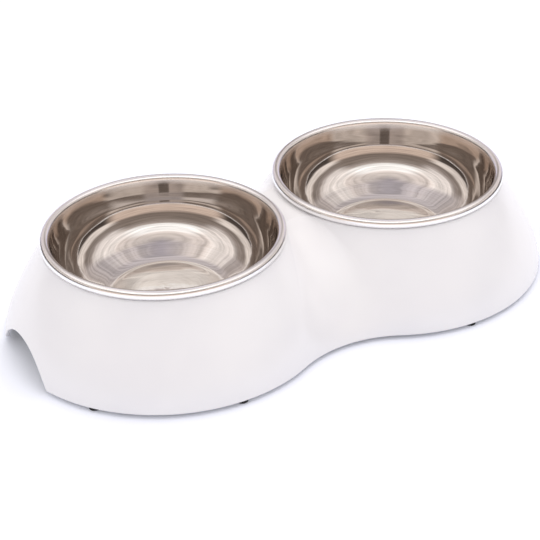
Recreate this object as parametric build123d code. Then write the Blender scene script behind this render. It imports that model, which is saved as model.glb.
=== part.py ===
"""Double pet bowl: two drawn steel bowls with rolled rims, hung in a white two-lobed stand on rubber feet.

The stand's long axis lies along X, with the left bowl at -X. The origin is at the middle of the footprint,
on the surface that the feet stand on, and +Z points up. All sizes are in millimetres and degrees.
"""

from build123d import *

import os
from math import atan, cos, radians, sin, sqrt, tan

# Bowls
rim_diameter = 130.0        # over the rolled rim
rim_bead = 5.0              # thickness of the rolled rim
rim_gap = 9.4               # between the two rims
curl_end = 112.0            # the rolled edge curls back this far below its outermost point
bowl_sheet = 0.7            # drawn steel sheet
bowl_depth = 35.0           # from the middle of the rim down to the inside floor
wall_taper = 13.0           # lean of the straight wall under the rim
corner_radius = 28.0        # inside bend from the wall to the sloping base
base_slope = 25.0           # rise of the base round the flat floor
floor_inset = 28.7          # the slope meets the floor this far inside the rim
floor_bend = 17.0           # inside bend from the sloping base to the floor

# Stand
seat_gap = 0.2              # between the rim's underside and the lip that it hangs on
opening_clearance = 0.6     # between the bowl's wall and the opening round it
lip_setback = 0.8           # the lip stays this far inside the rim's edge
wall = 2.5                  # moulded thickness
wall_height = 51.3          # from the lower edge up to the lip
skirt_spread = 24.0         # the lower edge stands this far outside the lip
shoulder_rise = 13.3        # height where the flared side turns to the upright lower edge
neck_width = 34.0           # across the waist at the lip
waist_inset = 16.8          # the waist is drawn in this far from the lobes at the lower edge
lip_round = 1.2             # rounding of the outer top edge
lower_round = 0.8           # rounding of the outer lower edge
opening_round = 0.6         # rounding of the openings' top edges
notch_width = 58.0          # hand notch at each end, along the lower edge
notch_rise = 16.4           # height of the hand notch
notch_round = 0.6           # rounding of the notch's edges
side_levels = 6             # outlines that the stand's side passes through

# Feet
foot_diameter = 6.4
foot_lift = 2.0             # the lower edge stands this far above the table
foot_round = 0.5            # rounding of the foot's bottom edge
foot_setback = 0.9          # from the outside of the lower edge to the foot
stem_diameter = 3.0
stem_length = 5.0
stem_clearance = 0.1        # round the stem and above it
boss_margin = 0.8           # the foot boss is this much wider than the foot all round
boss_height = 8.0           # foot boss above the lower edge
end_foot_gap = 22.9         # from a hand notch's edge across to the middle of the foot beside it

# Sizes that follow from those above
rim_radius = rim_diameter / 2
bead_radius = rim_bead / 2
bead_ring = rim_radius - bead_radius
bowl_offset = (rim_diameter + rim_gap) / 2
lip_level = foot_lift + wall_height
rim_level = lip_level + seat_gap + bead_radius
lip_radius = rim_radius - lip_setback
skirt_radius = lip_radius + skirt_spread
opening_radius = rim_radius - rim_bead + bowl_sheet + opening_clearance
stand_length = 2 * (bowl_offset + skirt_radius)
foot_radius = foot_diameter / 2
foot_ring = skirt_radius - foot_setback - foot_radius


def upright(radius, bottom, top):
    """Round bar on the Z axis between two levels."""
    return Pos(0, 0, bottom) * Cylinder(radius, top - bottom, align=(Align.CENTER, Align.CENTER, Align.MIN))


def side_at(drop):
    """Lobe radius of the stand's outside, and its lean from upright, at a drop below the lip.

    The side is one smooth curve: it leaves the lip on a slant, bends at the shoulder and ends upright.
    """
    bend = wall_height - shoulder_rise
    t = drop / (bend + sqrt(bend**2 + (wall_height - 2 * bend) * drop))
    radius = lip_radius + skirt_spread * (1 - (1 - t) ** 2)
    run = (1 - t) * skirt_spread
    fall = (1 - t) * bend + t * shoulder_rise
    return radius, atan(run / fall)


def waist_radius(lobe, half_neck):
    """Radius of the hollow arc that joins two lobes and leaves the given half width between them."""
    return (bowl_offset**2 + half_neck**2 - lobe**2) / (2 * (lobe - half_neck))


def outline(lobe, waist, level):
    """Two round lobes and the waist arcs that run into them, as a face at a level."""
    reach = lobe + waist
    waist_y = sqrt(reach**2 - bowl_offset**2)
    meet = (bowl_offset * waist / reach, waist_y * lobe / reach)
    waist_turn = Vector(bowl_offset, waist_y).get_angle(Vector(1, 0))
    back_lobe = CenterArc((bowl_offset, 0), lobe, 0, 180 - waist_turn)
    waist_arc = ThreePointArc(meet, (0, waist_y - waist), (-meet[0], meet[1]))
    back = Curve() + [back_lobe, waist_arc, back_lobe.mirror(Plane.YZ)]
    return Pos(0, 0, level) * make_face(back + back.mirror(Plane.XZ))


def side_form(top_drop, inset):
    """Solid inside the stand's side, moved in by a thickness, from a drop below the lip to the lower edge."""
    lip_waist = waist_radius(lip_radius, neck_width / 2)
    skirt_waist = waist_radius(skirt_radius, skirt_radius - waist_inset)
    sections = []
    for number in range(side_levels):
        drop = top_drop + (wall_height - top_drop) * number / (side_levels - 1)
        radius, lean = side_at(drop)
        waist = lip_waist + (skirt_waist - lip_waist) * drop / wall_height
        shift = inset / cos(lean)
        sections.append(outline(radius - shift, waist + shift, lip_level - drop))
    return loft(sections)


def foot_places():
    """Names and places of the feet: beside the hand notches and under each bowl's middle, front and back."""
    end_y = notch_width / 2 + end_foot_gap
    end_x = bowl_offset + sqrt(foot_ring**2 - end_y**2)
    row = [(-end_x, end_y), (-bowl_offset, foot_ring), (bowl_offset, foot_ring), (end_x, end_y)]
    places = {}
    for side, sign in (("front", -1), ("back", 1)):
        for number, (x, y) in enumerate(row, start=1):
            places[f"foot_{side}_{number}"] = (x, sign * y)
    return places


def make_stand():
    """Moulded shell, open below: outer form less inner form, then openings, foot bosses and hand notches."""
    outer = side_form(0, 0)
    outer = fillet(outer.edges().group_by(Axis.Z)[-1], lip_round)
    outer = fillet(outer.edges().group_by(Axis.Z)[0], lower_round)
    shell = outer - side_form(wall, wall)

    for x in (-bowl_offset, bowl_offset):
        shell -= Pos(x, 0) * upright(opening_radius, foot_lift, lip_level)
    shell = fillet(shell.edges().group_by(Axis.Z)[-1].filter_by(GeomType.CIRCLE), opening_round)

    notch_radius = (notch_rise**2 + (notch_width / 2) ** 2) / (2 * notch_rise)
    notch_level = foot_lift + notch_rise - notch_radius
    notch = Pos(0, 0, notch_level) * Rot(0, 90, 0) * Cylinder(notch_radius, 2 * stand_length)
    notched = shell - notch
    cut_edges = new_edges(shell, notch, combined=notched)
    shell = fillet(cut_edges.filter_by(lambda edge: edge.length > notch_width), notch_round)

    boss = upright(foot_radius + boss_margin, foot_lift, foot_lift + boss_height)
    hole_top = foot_lift + stem_length + stem_clearance
    stem_hole = upright(stem_diameter / 2 + stem_clearance, foot_lift, hole_top)
    for x, y in foot_places().values():
        shell += Pos(x, y) * boss & outer
        shell -= Pos(x, y) * stem_hole
    return shell


def make_bowl():
    """Bowl on the Z axis: the inside line of the sheet from floor to curled edge, thickened and turned."""
    lean, slope = radians(wall_taper), radians(base_slope)
    floor = rim_level - bowl_depth
    floor_radius = rim_radius - rim_bead - floor_inset
    wall_top = (bead_ring - bead_radius * cos(lean), rim_level + bead_radius * sin(lean))

    # The sloping base and the wall, run on, meet at one point, which the corner bend then rounds off.
    depth = wall_top[1] - floor
    base_run = (wall_top[0] - floor_radius - depth * tan(lean)) / (1 - tan(slope) * tan(lean))
    corner = (floor_radius + base_run, floor + base_run * tan(slope))
    floor_trim = floor_bend * tan(slope / 2)
    corner_turn = radians(90 - wall_taper - base_slope)
    corner_room = base_run / cos(slope) - floor_trim
    corner_bend = min(corner_radius, corner_room / tan(corner_turn / 2))
    inside = FilletPolyline(
        (0, floor), (floor_radius, floor), corner, wall_top, radius=[floor_bend, corner_bend]
    )

    outermost = (rim_radius, rim_level)
    curl_tip = (
        bead_ring + bead_radius * cos(radians(curl_end)),
        rim_level - bead_radius * sin(radians(curl_end)),
    )
    curl = ThreePointArc(wall_top, outermost, curl_tip)
    section = make_face(offset(inside + curl, amount=bowl_sheet, side=Side.RIGHT))
    return revolve(Plane.XZ * section, Axis.Z)


def make_foot():
    """Foot on the Z axis: a round pad with a stem that is pushed up into its boss."""
    pad = upright(foot_radius, 0, foot_lift)
    pad = fillet(pad.edges().group_by(Axis.Z)[0], foot_round)
    return pad + upright(stem_diameter / 2, foot_lift, foot_lift + stem_length)


def main():
    """Makes every piece in its place and writes it as one file per piece."""
    pieces = {"stand": make_stand()}
    bowl = make_bowl()
    pieces["left_bowl"] = Pos(-bowl_offset, 0) * bowl
    pieces["right_bowl"] = Pos(bowl_offset, 0) * bowl
    foot = make_foot()
    for name, (x, y) in foot_places().items():
        pieces[name] = Pos(x, y) * foot

    os.makedirs("parts", exist_ok=True)
    for name, piece in pieces.items():
        piece.label = name
        export_step(piece, f"parts/{name}.step")
        print(f"{name}: {piece.volume:.0f} mm3")


main()
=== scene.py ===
# %% [markdown]
# # A double pet bowl in white plastic and polished steel
# The model arrives as separate solids: a moulded stand, a steel bowl in each of its two openings, and
# rubber feet under the lower edge. This lesson gives those solids their look. It sets up a small studio,
# rebuilds the bowls and the feet as smooth turned shapes, and gives every piece the material that the
# real one is made of.

# %% Load the solids
from math import cos, pi, radians, sin, tan

import bpy
from mathutils import Matrix, Vector


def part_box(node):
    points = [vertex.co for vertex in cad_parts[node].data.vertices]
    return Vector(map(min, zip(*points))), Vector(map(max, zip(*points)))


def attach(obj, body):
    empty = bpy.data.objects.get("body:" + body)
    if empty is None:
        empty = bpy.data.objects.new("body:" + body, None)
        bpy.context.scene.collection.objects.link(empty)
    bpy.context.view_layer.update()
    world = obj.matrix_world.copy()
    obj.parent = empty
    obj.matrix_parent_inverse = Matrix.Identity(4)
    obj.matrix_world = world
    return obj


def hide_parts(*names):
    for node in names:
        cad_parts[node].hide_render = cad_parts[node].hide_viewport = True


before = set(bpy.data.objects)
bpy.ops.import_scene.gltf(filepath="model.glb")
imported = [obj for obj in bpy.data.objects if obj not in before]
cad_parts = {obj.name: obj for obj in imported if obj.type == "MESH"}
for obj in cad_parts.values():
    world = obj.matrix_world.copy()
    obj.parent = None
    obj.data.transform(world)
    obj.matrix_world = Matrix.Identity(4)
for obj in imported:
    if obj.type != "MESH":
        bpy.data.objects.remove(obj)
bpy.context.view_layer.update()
scene = bpy.context.scene
scene.view_settings.view_transform = "Standard"
MM = 0.001
print("solids:", ", ".join(sorted(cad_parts)))

# %% [markdown]
# ## The camera
# The photograph was taken with a long lens from the front left, looking down. A camera can be placed by
# eye, but here its direction, distance and focal length were worked out from the two round rims, which
# have the same size and lie in one plane. A camera looks along its own -Z, so the three axes below are
# its right, its up and the direction back from the object. Angles are in radians, places in metres.

# %% Camera
azimuth, elevation, roll = -0.49645, 0.53783, -0.02309
camera_place = Vector((-0.34898, -0.63199, 0.44252))
sensor_width, focal_length = 36, 100.22          # millimetres

back = Vector((sin(azimuth) * cos(elevation), -cos(azimuth) * cos(elevation), sin(elevation)))
level = Vector((cos(azimuth), sin(azimuth), 0))
upright = back.cross(level)
right = level * cos(roll) + upright * sin(roll)
up = upright * cos(roll) - level * sin(roll)

camera_data = bpy.data.cameras.new("camera")
camera_data.sensor_width = sensor_width
camera_data.lens = focal_length
camera = bpy.data.objects.new("camera", camera_data)
camera.matrix_world = Matrix.Translation(camera_place) @ Matrix((right, up, back)).transposed().to_4x4()
scene.collection.objects.link(camera)
scene.camera = camera
print("camera at", [round(x, 3) for x in camera_place], "with a lens of", focal_length, "mm")

# %% [markdown]
# ## Helpers for nodes
# Every material and every shape rule below is a small tree of nodes. One function adds a node, sets its
# properties, and fills or links its inputs, so each tree can be read from top to bottom like a recipe.
# Colours are written as the sRGB hex codes that a colour picker shows, and turned to the linear values
# that light uses.


# %% Node and colour helpers
def linear(code):
    """Linear RGBA of an sRGB hex code."""
    values = [int(code[i : i + 2], 16) / 255 for i in (1, 3, 5)]
    return [v / 12.92 if v <= 0.04045 else ((v + 0.055) / 1.055) ** 2.4 for v in values] + [1.0]


def add(tree, kind, settings=None, inputs=None):
    """Adds a node. Inputs go by name or number, and are values or the nodes or sockets that feed them."""
    node = tree.nodes.new(kind)
    for name, value in (settings or {}).items():
        setattr(node, name, value)
    for name, value in (inputs or {}).items():
        if isinstance(value, bpy.types.Node):
            value = value.outputs[0]
        if isinstance(value, bpy.types.NodeSocket):
            tree.links.new(value, node.inputs[name])
        else:
            node.inputs[name].default_value = value
    return node


def new_material(name):
    """An empty node material and its tree."""
    material = bpy.data.materials.new(name)
    material.use_nodes = True
    material.node_tree.nodes.clear()
    return material, material.node_tree


def set_ramp(node, stops):
    """Fills a colour ramp with (place, hex code) stops."""
    ramp = node.color_ramp
    ramp.elements.remove(ramp.elements[1])
    ramp.elements[0].position = stops[0][0]
    ramp.elements[0].color = linear(stops[0][1])
    for place, code in stops[1:]:
        ramp.elements.new(place).color = linear(code)


print("the grey #808080 is", round(linear("#808080")[0], 3), "in linear light")

# %% [markdown]
# ## The studio
# The photograph is a pack shot: white paper, soft light from all round, a little more of it from above,
# behind and on the right, and a narrow shadow where the stand meets the paper. Area lamps could give
# that, but their edges show on gloss, so a white world does most of the lighting, at a level where a
# colour renders about as it is written. One very soft sun gives the shadow its direction. The paper adds
# a little white of its own for the camera and for reflections, so that it stays white right up to the
# shadow.

# %% World and sun
fill_level, sun_level = 0.88, 0.90
sun_from = Vector((0.25, 0.20, 1.0))
sun_width = radians(60)       # a wide sun has soft shadows

world = bpy.data.worlds.new("white_studio")
world.use_nodes = True
scene.world = world
tree = world.node_tree
tree.nodes.clear()


def seen_directly(tree):
    """One for rays from the camera and for what mirrors and glass show, and zero for light on surfaces."""
    rays = add(tree, "ShaderNodeLightPath").outputs
    seen = {0: rays["Is Camera Ray"], 1: rays["Is Glossy Ray"]}
    seen = add(tree, "ShaderNodeMath", {"operation": "MAXIMUM"}, seen)
    return add(tree, "ShaderNodeMath", {"operation": "MAXIMUM"}, {0: seen, 1: rays["Is Transmission Ray"]})


fill = add(tree, "ShaderNodeBackground", None, {"Color": linear("#fffbfa"), "Strength": fill_level})
white = add(tree, "ShaderNodeBackground", None, {"Color": linear("#ffffff"), "Strength": 1.0})
both = add(tree, "ShaderNodeMixShader", None, {0: seen_directly(tree), 1: fill, 2: white})
add(tree, "ShaderNodeOutputWorld", None, {"Surface": both})

sun_data = bpy.data.lights.new("soft_sun", "SUN")
sun_data.energy = sun_level
sun_data.angle = sun_width
sun_data.color = linear("#fffaf6")[:3]
sun = bpy.data.objects.new("soft_sun", sun_data)
sun.rotation_euler = sun_from.to_track_quat("Z", "Y").to_euler()
sun.visible_glossy = False
scene.collection.objects.link(sun)
print("world fill", fill_level, "and sun", sun_level)

# %% Paper floor
paper_reach = 6.0
paper_glow = 0.10

paper, tree = new_material("white_paper_floor")
glow_level = add(tree, "ShaderNodeMath", {"operation": "MULTIPLY"}, {0: seen_directly(tree), 1: paper_glow})
matte = add(tree, "ShaderNodeBsdfDiffuse", None, {"Color": linear("#f0f4ff")})
glow = add(tree, "ShaderNodeEmission", None, {"Color": linear("#ffffff"), "Strength": glow_level})
both = add(tree, "ShaderNodeAddShader", None, {0: matte, 1: glow})
add(tree, "ShaderNodeOutputMaterial", None, {"Surface": both})

floor_mesh = bpy.data.meshes.new("paper_floor")
corners = [(-paper_reach, -paper_reach, 0), (paper_reach, -paper_reach, 0)]
corners += [(paper_reach, paper_reach, 0), (-paper_reach, paper_reach, 0)]
floor_mesh.from_pydata(corners, [], [(0, 1, 2, 3)])
floor_mesh.materials.append(paper)
paper_floor = bpy.data.objects.new("paper_floor", floor_mesh)
scene.collection.objects.link(paper_floor)
print("paper floor", 2 * paper_reach, "m wide")

# %% [markdown]
# ## What the steel sees
# A mirror has no colour of its own: it shows the room. A picture wrapped round the world could be that
# room, but a few colours by height are enough, because a ring of one height in the room becomes a ring in
# a round bowl. The real room isn't known, so this one is made up to give reflections much like the
# photographed ones. In front there are tan boards, a dim room above them and a wide lamp under the
# ceiling. At the sides, dark furniture stands before a pale wall with a lamp of its own. Behind, a
# lilac-grey backdrop hangs before a grey wall with a dark doorway in it. All of it is painted on a large
# dome that only reflections see, so it shapes the steel and leaves the light on the stand alone. Light
# bounces several times inside a bowl before it leaves, so more mirror bounces than usual are allowed.

# %% The room's colours, by degrees above the horizon
mirror_bounces = 8
room_radius = 3.0
room_strength = 1.5           # brings a colour of the room back to about its hex code after one bounce

front_room = [
    (0, "#d9d3d0"),
    (12, "#c8b5a8"),          # tan boards
    (22, "#c8b5a8"),
    (27, "#7a6e67"),          # dim room
    (40, "#81766f"),
    (50, "#aaa09b"),
    (53, "#ffffff"),          # wide lamp
    (67, "#ffffff"),
    (71, "#dcd4d0"),          # ceiling
]
side_room = [
    (0, "#3e3733"),           # dark furniture
    (19, "#4a423e"),
    (22, "#dcd3cd"),          # pale wall
    (28, "#dcd3cd"),
    (31, "#7f756f"),          # dim room
    (38, "#978d88"),
    (43, "#e2dbd8"),          # side lamp
    (58, "#f0eae7"),
    (62, "#d9d0cc"),          # ceiling
    (88, "#bfb8b6"),
]
back_room = [
    (0, "#5c565a"),
    (4, "#b4adb9"),           # lilac-grey backdrop
    (18, "#b4adb9"),
    (22, "#bdb2ac"),          # grey wall
    (45, "#b4aeb0"),
    (68, "#c8c2c7"),
    (74, "#b0abb1"),          # ceiling
    (80, "#a09ba3"),
]
scene.cycles.glossy_bounces = mirror_bounces
print("room colours:", len(front_room), "in front,", len(side_room), "aside,", len(back_room), "behind")

# %% The room's walls
zenith = 90                   # degrees from the horizon to the top of the dome
side_slope, back_slope = -0.53, 1.2
wall_edge = 0.2 * room_radius          # half the width of the soft edge between two walls

room_look, tree = new_material("studio_room")
where = add(tree, "ShaderNodeTexCoord").outputs["Object"]
axes = add(tree, "ShaderNodeSeparateXYZ", None, {0: where}).outputs
rise = add(tree, "ShaderNodeMath", {"operation": "DIVIDE"}, {0: axes["Z"], 1: room_radius})
rise = add(tree, "ShaderNodeMath", {"operation": "ARCSINE"}, {0: rise})
rise = add(tree, "ShaderNodeMath", {"operation": "DIVIDE"}, {0: rise, 1: pi / 2})
aside = add(tree, "ShaderNodeMath", {"operation": "ABSOLUTE"}, {0: axes["X"]})

ramps = []
for stops in (front_room, side_room, back_room):
    ramp = add(tree, "ShaderNodeValToRGB", None, {0: rise})
    set_ramp(ramp, [(angle / zenith, code) for angle, code in stops])
    ramps.append(ramp)
front_wall, side_walls, back_wall = ramps

# The side walls take over from the front, and the back wall from the side walls, with a soft edge. Each
# begins where the way back from the middle equals its slope times the way aside.
walls = front_wall
for wall, wall_slope in ((side_walls, side_slope), (back_wall, back_slope)):
    past = {0: aside, 1: -wall_slope, 2: axes["Y"]}
    past = add(tree, "ShaderNodeMath", {"operation": "MULTIPLY_ADD"}, past)
    past = {"Value": past, "From Min": -wall_edge, "From Max": wall_edge}
    past = add(tree, "ShaderNodeMapRange", {"interpolation_type": "SMOOTHSTEP"}, past)
    walls = add(tree, "ShaderNodeMixRGB", None, {"Fac": past, "Color1": walls, "Color2": wall})
print("walls in", len(ramps), "ramps of colour")

# %% A doorway in the back wall, and streaks over everything
door_slope = 5.0              # in the doorway the way back is more than this times the way aside
door_top, door_blur = 31 / zenith, 1 / zenith
door_tone = "#756c67"
streak_scale = (0.5, 0.5, 14.0)        # changes of the pattern in a metre along X, Y and Z
streaks_low, streaks_high = 0.78, 1.18
noise_most = (0.35, 0.65)     # most values of a noise texture lie in this range

within = {0: aside, 1: -door_slope, 2: axes["Y"]}
within = add(tree, "ShaderNodeMath", {"operation": "MULTIPLY_ADD"}, within)
within = add(tree, "ShaderNodeMapRange", None, {"Value": within, "From Min": 0.0, "From Max": wall_edge})
under = {"Value": rise, "From Min": door_top + door_blur, "From Max": door_top - door_blur}
under = add(tree, "ShaderNodeMapRange", None, under)
doorway = add(tree, "ShaderNodeMath", {"operation": "MULTIPLY"}, {0: within, 1: under})
doorway = {"Fac": doorway, "Color1": walls, "Color2": linear(door_tone)}
walls = add(tree, "ShaderNodeMixRGB", None, doorway)

# Long, low streaks break up the colours, as the things in a room do.
squash = add(tree, "ShaderNodeMapping", None, {"Vector": where, "Scale": streak_scale})
streaks = add(tree, "ShaderNodeTexNoise", None, {"Vector": squash, "Scale": 1.0, "Detail": 3.0})
uneven = {"Value": streaks, "From Min": noise_most[0], "From Max": noise_most[1]}
uneven |= {"To Min": streaks_low * room_strength, "To Max": streaks_high * room_strength}
uneven = add(tree, "ShaderNodeMapRange", None, uneven)
glow = add(tree, "ShaderNodeEmission", None, {"Color": walls, "Strength": uneven})
add(tree, "ShaderNodeOutputMaterial", None, {"Surface": glow})
print("studio_room has", len(tree.nodes), "nodes")

# %% The room's dome
room_segments, room_rings = 64, 32
bpy.ops.mesh.primitive_uv_sphere_add(segments=room_segments, ring_count=room_rings, radius=room_radius)
room = bpy.context.object
room.name = "room"
room.rotation_euler.z = azimuth        # the room's front is on the camera's side
room.data.materials.append(room_look)
room.data.polygons.foreach_set("use_smooth", [True] * len(room.data.polygons))
room.visible_camera = False
room.visible_diffuse = False
room.visible_shadow = False
room.visible_transmission = False
room.visible_volume_scatter = False
print("room", 2 * room_radius, "m across, for reflections only")

# %% [markdown]
# ## Turned shapes
# The bowls and the feet are all round about an upright axis. The Spin tool or a Screw modifier could turn
# them, but Geometry Nodes keep the sizes as named inputs that can be changed on the modifier. A turned
# shape is a section carried round a circle, so two helpers serve both: the first draws a section through
# a few points and rounds its bends, and the second carries a section round the axis and closes its poles.

# %% Geometry Nodes: sections and turning
bend_points = 32              # points in each rounded bend
weld_distance = 0.01 * MM     # points nearer than this become one, which closes the poles


def section_through(tree, points, bends):
    """A line through points, given as (radius, height), with each bend rounded to its radius."""
    number = add(tree, "GeometryNodeInputIndex")
    place = add(tree, "GeometryNodeIndexSwitch", {"data_type": "VECTOR"}, {"Index": number})
    bend = add(tree, "GeometryNodeIndexSwitch", {"data_type": "FLOAT"}, {"Index": number})
    for item in range(len(points) - 2):
        place.index_switch_items.new()
        bend.index_switch_items.new()
    for item, (radius, height) in enumerate(points, start=1):
        point = add(tree, "ShaderNodeCombineXYZ", None, {"X": radius, "Y": height})
        tree.links.new(point.outputs[0], place.inputs[item])
    for item, radius in bends.items():
        tree.links.new(radius, bend.inputs[item + 1])
    line = add(tree, "GeometryNodeMeshLine", None, {"Count": len(points)})
    line = add(tree, "GeometryNodeSetPosition", None, {"Geometry": line, "Position": place})
    line = add(tree, "GeometryNodeMeshToCurve", None, {"Mesh": line})
    rounding = {"Curve": line, "Count": bend_points, "Radius": bend}
    return add(tree, "GeometryNodeFilletCurve", {"mode": "POLY"}, rounding)


def turned(tree, section, spacing, segments):
    """Carries a section round the upright axis. Faces point to the left of the section as it is drawn."""
    even = {"Curve": section, "Length": spacing}
    section = add(tree, "GeometryNodeResampleCurve", {"mode": "LENGTH"}, even)
    # The sweep follows a circle of radius 1, so the section starts from there, and its second axis is down.
    shift = {"Geometry": section, "Translation": (-1.0, 0.0, 0.0), "Scale": (1.0, -1.0, 1.0)}
    section = add(tree, "GeometryNodeTransform", None, shift)
    circle = add(tree, "GeometryNodeCurvePrimitiveCircle", None, {"Resolution": segments, "Radius": 1.0})
    circle = add(tree, "GeometryNodeSetCurveNormal", {"mode": "Z_UP"}, {"Curve": circle})
    skin = add(tree, "GeometryNodeCurveToMesh", None, {"Curve": circle, "Profile Curve": section})
    skin = add(tree, "GeometryNodeMergeByDistance", None, {"Geometry": skin, "Distance": weld_distance})
    return add(tree, "GeometryNodeSetShadeSmooth", None, {"Geometry": skin})


print("a rounded bend has", bend_points, "points")


# %% Geometry Nodes: rules with named sizes, and baking
def new_rule(name, sizes, others):
    """A Geometry Nodes tree with one named input for each size, and the identifiers of its inputs."""
    rule = bpy.data.node_groups.new(name, "GeometryNodeTree")
    rule.interface.new_socket("Geometry", in_out="OUTPUT", socket_type="NodeSocketGeometry")
    kinds = others | {size: "NodeSocketFloat" for size in sizes}
    sockets = {}
    for size, kind in kinds.items():
        sockets[size] = rule.interface.new_socket(size, in_out="INPUT", socket_type=kind).identifier
    return rule, sockets, add(rule, "NodeGroupInput").outputs


def bake(piece):
    """Turns a piece's modifiers into a plain mesh."""
    mesh = bpy.data.meshes.new_from_object(piece.evaluated_get(bpy.context.evaluated_depsgraph_get()))
    piece.modifiers.clear()
    piece.data = mesh
    mesh.name = piece.name
    size = [max(v.co[i] for v in mesh.vertices) - min(v.co[i] for v in mesh.vertices) for i in range(3)]
    print(piece.name, len(mesh.polygons), "faces,", " x ".join(f"{s / MM:.1f}" for s in size), "mm")


# %% [markdown]
# ## The shape of a bowl
# Each bowl is one disc of stainless steel, drawn to a flat floor, a sloping base and a straight wall,
# with its edge rolled outwards into a bead that hangs on the stand. The inside line of that sheet is four
# points with two rounded bends and the arc of the bead. Turning it gives the inside skin, and Solidify
# gives the thickness of the sheet on the far side of that skin, so the outside follows by itself.

# %% Sizes of a bowl, in metres and radians
rim_low, rim_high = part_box("right_bowl")
rim_radius = (rim_high.y - rim_low.y) / 2
bowl_offset = (rim_low.x + rim_high.x) / 2
bead_radius, sheet = 2.5 * MM, 0.7 * MM
rim_level = rim_high.z - bead_radius
floor_level = rim_low.z + sheet
lean, slope = radians(13.0), radians(25.0)
floor_bend, corner_bend = 17.0 * MM, 28.0 * MM
floor_inset = 28.7 * MM
curl_end = radians(112.0)
skin_spacing = 0.7 * MM       # between points along the section
curl_points = 96              # points that the bead is drawn with, before they are spaced evenly

bead_ring = rim_radius - bead_radius
bead_inside = bead_ring - bead_radius
floor_radius = bead_inside - floor_inset
wall_top = (bead_ring - bead_radius * cos(lean), rim_level + bead_radius * sin(lean))
depth = wall_top[1] - floor_level
base_run = (wall_top[0] - floor_radius - depth * tan(lean)) / (1 - tan(slope) * tan(lean))
corner = (floor_radius + base_run, floor_level + base_run * tan(slope))
print("rim", round(2 * rim_radius / MM, 1), "mm across")
print("bowls", round(bowl_offset / MM, 1), "mm off the middle")

# %% Geometry Nodes: the rule for a drawn bowl
bowl_sizes = {
    "Floor Radius": floor_radius,
    "Floor Level": floor_level,
    "Corner Radius": corner[0],
    "Corner Level": corner[1],
    "Wall Top Radius": wall_top[0],
    "Wall Top Level": wall_top[1],
    "Floor Bend": floor_bend,
    "Corner Bend": corner_bend,
    "Bead Ring": bead_ring,
    "Bead Level": rim_level,
    "Bead Radius": bead_radius,
    "Curl Start": -curl_end,
    "Curl Sweep": curl_end + pi - lean,
    "Point Spacing": skin_spacing,
    "Axis X": 0.0,
}
others = {"Segments": "NodeSocketInt", "Steel": "NodeSocketMaterial"}
bowl_rule, bowl_sockets, given = new_rule("drawn_bowl", bowl_sizes, others)

bowl_points = [
    (0.0, given["Floor Level"]),
    (given["Floor Radius"], given["Floor Level"]),
    (given["Corner Radius"], given["Corner Level"]),
    (given["Wall Top Radius"], given["Wall Top Level"]),
]
inside = section_through(bowl_rule, bowl_points, {1: given["Floor Bend"], 2: given["Corner Bend"]})

curl = {"Start Angle": given["Curl Start"], "Sweep Angle": given["Curl Sweep"]}
curl |= {"Radius": given["Bead Radius"], "Resolution": curl_points}
bead = add(bowl_rule, "GeometryNodeCurveArc", None, curl)
bead_middle = {"X": given["Bead Ring"], "Y": given["Bead Level"]}
bead_middle = add(bowl_rule, "ShaderNodeCombineXYZ", None, bead_middle)
bead = add(bowl_rule, "GeometryNodeTransform", None, {"Geometry": bead, "Translation": bead_middle})
bead = add(bowl_rule, "GeometryNodeReverseCurve", None, {"Curve": bead})

section = add(bowl_rule, "GeometryNodeJoinGeometry", None, {0: inside})
bowl_rule.links.new(bead.outputs[0], section.inputs[0])
skin = turned(bowl_rule, section, given["Point Spacing"], given["Segments"])
axis_place = add(bowl_rule, "ShaderNodeCombineXYZ", None, {"X": given["Axis X"]})
skin = add(bowl_rule, "GeometryNodeTransform", None, {"Geometry": skin, "Translation": axis_place})
skin = add(bowl_rule, "GeometryNodeRealizeInstances", None, {"Geometry": skin})
skin = add(bowl_rule, "GeometryNodeSetMaterial", None, {"Geometry": skin, "Material": given["Steel"]})
add(bowl_rule, "NodeGroupOutput", None, {"Geometry": skin})
print("drawn_bowl has", len(bowl_rule.nodes), "nodes")

# %% [markdown]
# ## Polished stainless steel
# The bowls are stainless steel sheet, drawn in a press and then polished on a spinning wheel. A plain
# metal with low roughness would look like a perfect mirror, but its making leaves two traces: polishing
# puts very fine lines round the bowl, and drawing leaves the sheet slightly wavy, which breaks the
# reflections into streaks. Both follow the circle, so the pattern's coordinates are the direction from
# the bowl's axis, which changes slowly, and the radius plus the height, which changes fast along the
# section. Taking X without its sign serves both bowls with one material. The inside keeps a faint warm
# grey. The photographed bead is brighter and more neutral than that, and its reflections are softer, so
# it gets a broader gloss. It also gets a paler, nearly white tone, which is a painted highlight: the bead
# is the same steel as the inside, and the tone stands in for the brighter light that it catches.

# %% Steel: coordinates that run round the bowl
line_spacing = 0.9 * MM       # real polishing lines are about a tenth of that, too fine to show here
wave_spacing = 7.0 * MM
wave_height = 0.07 * MM
line_turns, wave_turns = 8, 5          # changes of the pattern in a turn round the bowl

steel, tree = new_material("polished_stainless_steel")
where = add(tree, "ShaderNodeTexCoord")
axes = add(tree, "ShaderNodeSeparateXYZ", None, {0: where.outputs["Object"]}).outputs
across = add(tree, "ShaderNodeMath", {"operation": "ABSOLUTE"}, {0: axes["X"]})
across = add(tree, "ShaderNodeMath", {"operation": "SUBTRACT"}, {0: across, 1: bowl_offset})
spoke = add(tree, "ShaderNodeCombineXYZ", None, {"X": across, "Y": axes["Y"]})
reach = add(tree, "ShaderNodeVectorMath", {"operation": "LENGTH"}, {0: spoke}).outputs["Value"]
round_axis = add(tree, "ShaderNodeVectorMath", {"operation": "NORMALIZE"}, {0: spoke})
along = add(tree, "ShaderNodeMath", {"operation": "ADD"}, {0: reach, 1: axes["Z"]})

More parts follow.
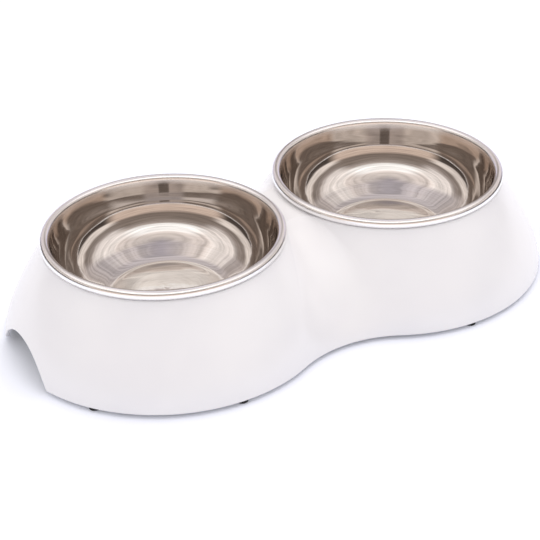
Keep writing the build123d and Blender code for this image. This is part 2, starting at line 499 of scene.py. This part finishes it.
patterns = []
for spacing, turns, detail in ((line_spacing, line_turns, 2.0), (wave_spacing, wave_turns, 1.0)):
    slow = {0: round_axis, "Scale": turns / (2 * pi)}
    slow = add(tree, "ShaderNodeVectorMath", {"operation": "SCALE"}, slow)
    fast = add(tree, "ShaderNodeMath", {"operation": "DIVIDE"}, {0: along, 1: spacing})
    fast = add(tree, "ShaderNodeCombineXYZ", None, {"Z": fast})
    place = add(tree, "ShaderNodeVectorMath", {"operation": "ADD"}, {0: slow, 1: fast})
    noise = {"Vector": place, "Scale": 1.0, "Detail": detail}
    patterns.append(add(tree, "ShaderNodeTexNoise", None, noise))
lines, waves = patterns
print("polishing lines every", line_spacing / MM, "mm, waves every", wave_spacing / MM, "mm")

# %% Steel: tone, gloss and waviness
# the bead's near-white tone is a painted highlight, brighter than the steel really is
inside_tones, bead_painted_highlight_tone = ("#d0cac5", "#d7d2ce"), "#fbfafa"
inside_roughness = (0.02, 0.06)
bead_softness = 0.20          # roughness that the bead has beyond that of the inside
noise_whole = (0.3, 0.7)      # nearly all values of a noise texture lie in this range

gloss = {"Value": lines, "From Min": noise_whole[0], "From Max": noise_whole[1]}
gloss |= {"To Min": inside_roughness[0], "To Max": inside_roughness[1]}
gloss = add(tree, "ShaderNodeMapRange", None, gloss)
tone = add(tree, "ShaderNodeValToRGB", None, {0: lines})
set_ramp(tone, list(zip(noise_whole, inside_tones)))
# Towards the bead the tone turns to the painted highlight, and the gloss broadens.
on_bead = {"Value": reach, "From Min": bead_inside - sheet, "From Max": bead_inside}
on_bead = add(tree, "ShaderNodeMapRange", None, on_bead)
tone = add(tree, "ShaderNodeMixRGB", None, {"Fac": on_bead, "Color1": tone, "Color2": linear(bead_painted_highlight_tone)})
gloss = {0: on_bead, 1: bead_softness, 2: gloss}
gloss = add(tree, "ShaderNodeMath", {"operation": "MULTIPLY_ADD"}, gloss)
wavy = add(tree, "ShaderNodeBump", None, {"Height": waves, "Distance": wave_height, "Strength": 1.0})
shader = {"Base Color": tone, "Metallic": 1.0, "Roughness": gloss, "Normal": wavy}
shader = add(tree, "ShaderNodeBsdfPrincipled", None, shader)
add(tree, "ShaderNodeOutputMaterial", None, {"Surface": shader})
print("polished_stainless_steel has", len(tree.nodes), "nodes")

# %% Make the bowls
bowl_segments = 192
for name, side in (("left_bowl", -1), ("right_bowl", 1)):
    piece = bpy.data.objects.new(name + "_steel", bpy.data.meshes.new(name))
    scene.collection.objects.link(piece)
    rule = piece.modifiers.new("drawn_bowl", "NODES")
    rule.node_group = bowl_rule
    for size, value in bowl_sizes.items():
        rule[bowl_sockets[size]] = value
    rule[bowl_sockets["Axis X"]] = side * bowl_offset
    rule[bowl_sockets["Segments"]] = bowl_segments
    rule[bowl_sockets["Steel"]] = steel
    thickness = piece.modifiers.new("sheet", "SOLIDIFY")
    thickness.thickness = sheet
    thickness.offset = -1                  # the sheet lies behind the skin
    bake(piece)
    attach(piece, name)
    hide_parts(name)

# %% [markdown]
# ## The stand
# The stand is injection moulded in one shot of white plastic, glossy outside. It could be remade with a
# subdivided mesh, but its solid already has the true shape, so it stays as it is and only gets its
# material. Moulded gloss is never a perfect mirror: the surface has the faint ripple of the mould's
# polish and of the plastic as it cools, which softens what it reflects, and the tone drifts a little with
# the flow of the plastic.

# %% White moulded plastic
ripple_spacing = 3.0 * MM     # real ripple is finer, and is drawn coarse enough to soften a reflection here
ripple_height = 0.004 * MM
flow_spacing = 45.0 * MM
plastic_tones = ("#f0eff1", "#f4f3f4")
plastic_roughness = (0.20, 0.27)
plastic_ior = 1.5

plastic, tree = new_material("white_moulded_plastic")
where = add(tree, "ShaderNodeTexCoord").outputs["Object"]
ripple = {"Vector": where, "Scale": 1 / ripple_spacing, "Detail": 2.0}
ripple = add(tree, "ShaderNodeTexNoise", None, ripple)
flow = add(tree, "ShaderNodeTexNoise", None, {"Vector": where, "Scale": 1 / flow_spacing, "Detail": 2.0})
tone = add(tree, "ShaderNodeValToRGB", None, {0: flow})
set_ramp(tone, list(zip(noise_most, plastic_tones)))
gloss = {"Value": flow, "From Min": noise_most[0], "From Max": noise_most[1]}
gloss |= {"To Min": plastic_roughness[0], "To Max": plastic_roughness[1]}
gloss = add(tree, "ShaderNodeMapRange", None, gloss)
peel = add(tree, "ShaderNodeBump", None, {"Height": ripple, "Distance": ripple_height, "Strength": 1.0})
shader = {"Base Color": tone, "Roughness": gloss, "IOR": plastic_ior, "Normal": peel}
shader = add(tree, "ShaderNodeBsdfPrincipled", None, shader)
add(tree, "ShaderNodeOutputMaterial", None, {"Surface": shader})

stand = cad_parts["stand"]
stand.data.materials.clear()
stand.data.materials.append(plastic)
print("stand", len(stand.data.polygons), "faces in", plastic.name)

# %% [markdown]
# ## The feet
# Small black rubber feet keep the lower edge off the table. Each is a round pad with a stem that is
# pushed up into a boss in the stand. They could be copied one by one, but they are all alike, so one foot
# is turned from its section and then set down on a point for each place, which are read from the solids.
# Realizing the instances makes one plain mesh of them. Moulded rubber is nearly black and dull, with a
# fine grain that scatters the light.

# %% Black rubber
grain_spacing = 0.6 * MM      # real grain is finer, and is drawn coarse enough to show on so small a piece
grain_height = 0.02 * MM
rubber_tones = ("#101010", "#1d1c1c")
rubber_roughness = (0.65, 0.85)

rubber, tree = new_material("black_moulded_rubber")
where = add(tree, "ShaderNodeTexCoord").outputs["Object"]
grain = add(tree, "ShaderNodeTexNoise", None, {"Vector": where, "Scale": 1 / grain_spacing, "Detail": 3.0})
tone = add(tree, "ShaderNodeValToRGB", None, {0: grain})
set_ramp(tone, list(zip(noise_whole, rubber_tones)))
rough = {"Value": grain, "From Min": noise_whole[0], "From Max": noise_whole[1]}
rough |= {"To Min": rubber_roughness[0], "To Max": rubber_roughness[1]}
rough = add(tree, "ShaderNodeMapRange", None, rough)
dull = add(tree, "ShaderNodeBump", None, {"Height": grain, "Distance": grain_height, "Strength": 1.0})
shader = {"Base Color": tone, "Roughness": rough, "Normal": dull}
shader = add(tree, "ShaderNodeBsdfPrincipled", None, shader)
add(tree, "ShaderNodeOutputMaterial", None, {"Surface": shader})
print("rubber grain every", grain_spacing / MM, "mm")

# %% Geometry Nodes: one foot, set down at each place
feet = [name for name in sorted(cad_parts) if name.startswith("foot")]
foot_low, foot_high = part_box(feet[0])
stand_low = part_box("stand")[0]
foot_sizes = {
    "Pad Radius": (foot_high.x - foot_low.x) / 2,
    "Pad Height": stand_low.z,
    "Pad Rounding": 0.5 * MM,
    "Stem Radius": 1.5 * MM,
    "Stem Top": foot_high.z,
    "Point Spacing": 0.25 * MM,
}
others = {"Places": "NodeSocketGeometry", "Segments": "NodeSocketInt", "Rubber": "NodeSocketMaterial"}
foot_rule, foot_sockets, given = new_rule("rubber_feet", foot_sizes, others)
foot_points = [
    (0.0, given["Stem Top"]),
    (given["Stem Radius"], given["Stem Top"]),
    (given["Stem Radius"], given["Pad Height"]),
    (given["Pad Radius"], given["Pad Height"]),
    (given["Pad Radius"], 0.0),
    (0.0, 0.0),
]
section = section_through(foot_rule, foot_points, {4: given["Pad Rounding"]})
foot = turned(foot_rule, section, given["Point Spacing"], given["Segments"])
row = add(foot_rule, "GeometryNodeInstanceOnPoints", None, {"Points": given["Places"], "Instance": foot})
row = add(foot_rule, "GeometryNodeRealizeInstances", None, {"Geometry": row})
row = add(foot_rule, "GeometryNodeSetMaterial", None, {"Geometry": row, "Material": given["Rubber"]})
add(foot_rule, "NodeGroupOutput", None, {"Geometry": row})
print("rubber_feet has", len(foot_rule.nodes), "nodes")

# %% Make the feet
foot_segments = 40
foot_mesh = bpy.data.meshes.new("rubber_feet")
places = []
for name in feet:
    low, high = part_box(name)
    places.append(((low.x + high.x) / 2, (low.y + high.y) / 2, low.z))
foot_mesh.from_pydata(places, [], [])
piece = bpy.data.objects.new("rubber_feet", foot_mesh)
scene.collection.objects.link(piece)
rule = piece.modifiers.new("rubber_feet", "NODES")
rule.node_group = foot_rule
for size, value in foot_sizes.items():
    rule[foot_sockets[size]] = value
rule[foot_sockets["Segments"]] = foot_segments
rule[foot_sockets["Rubber"]] = rubber
bake(piece)
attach(piece, "stand")
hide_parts(*feet)
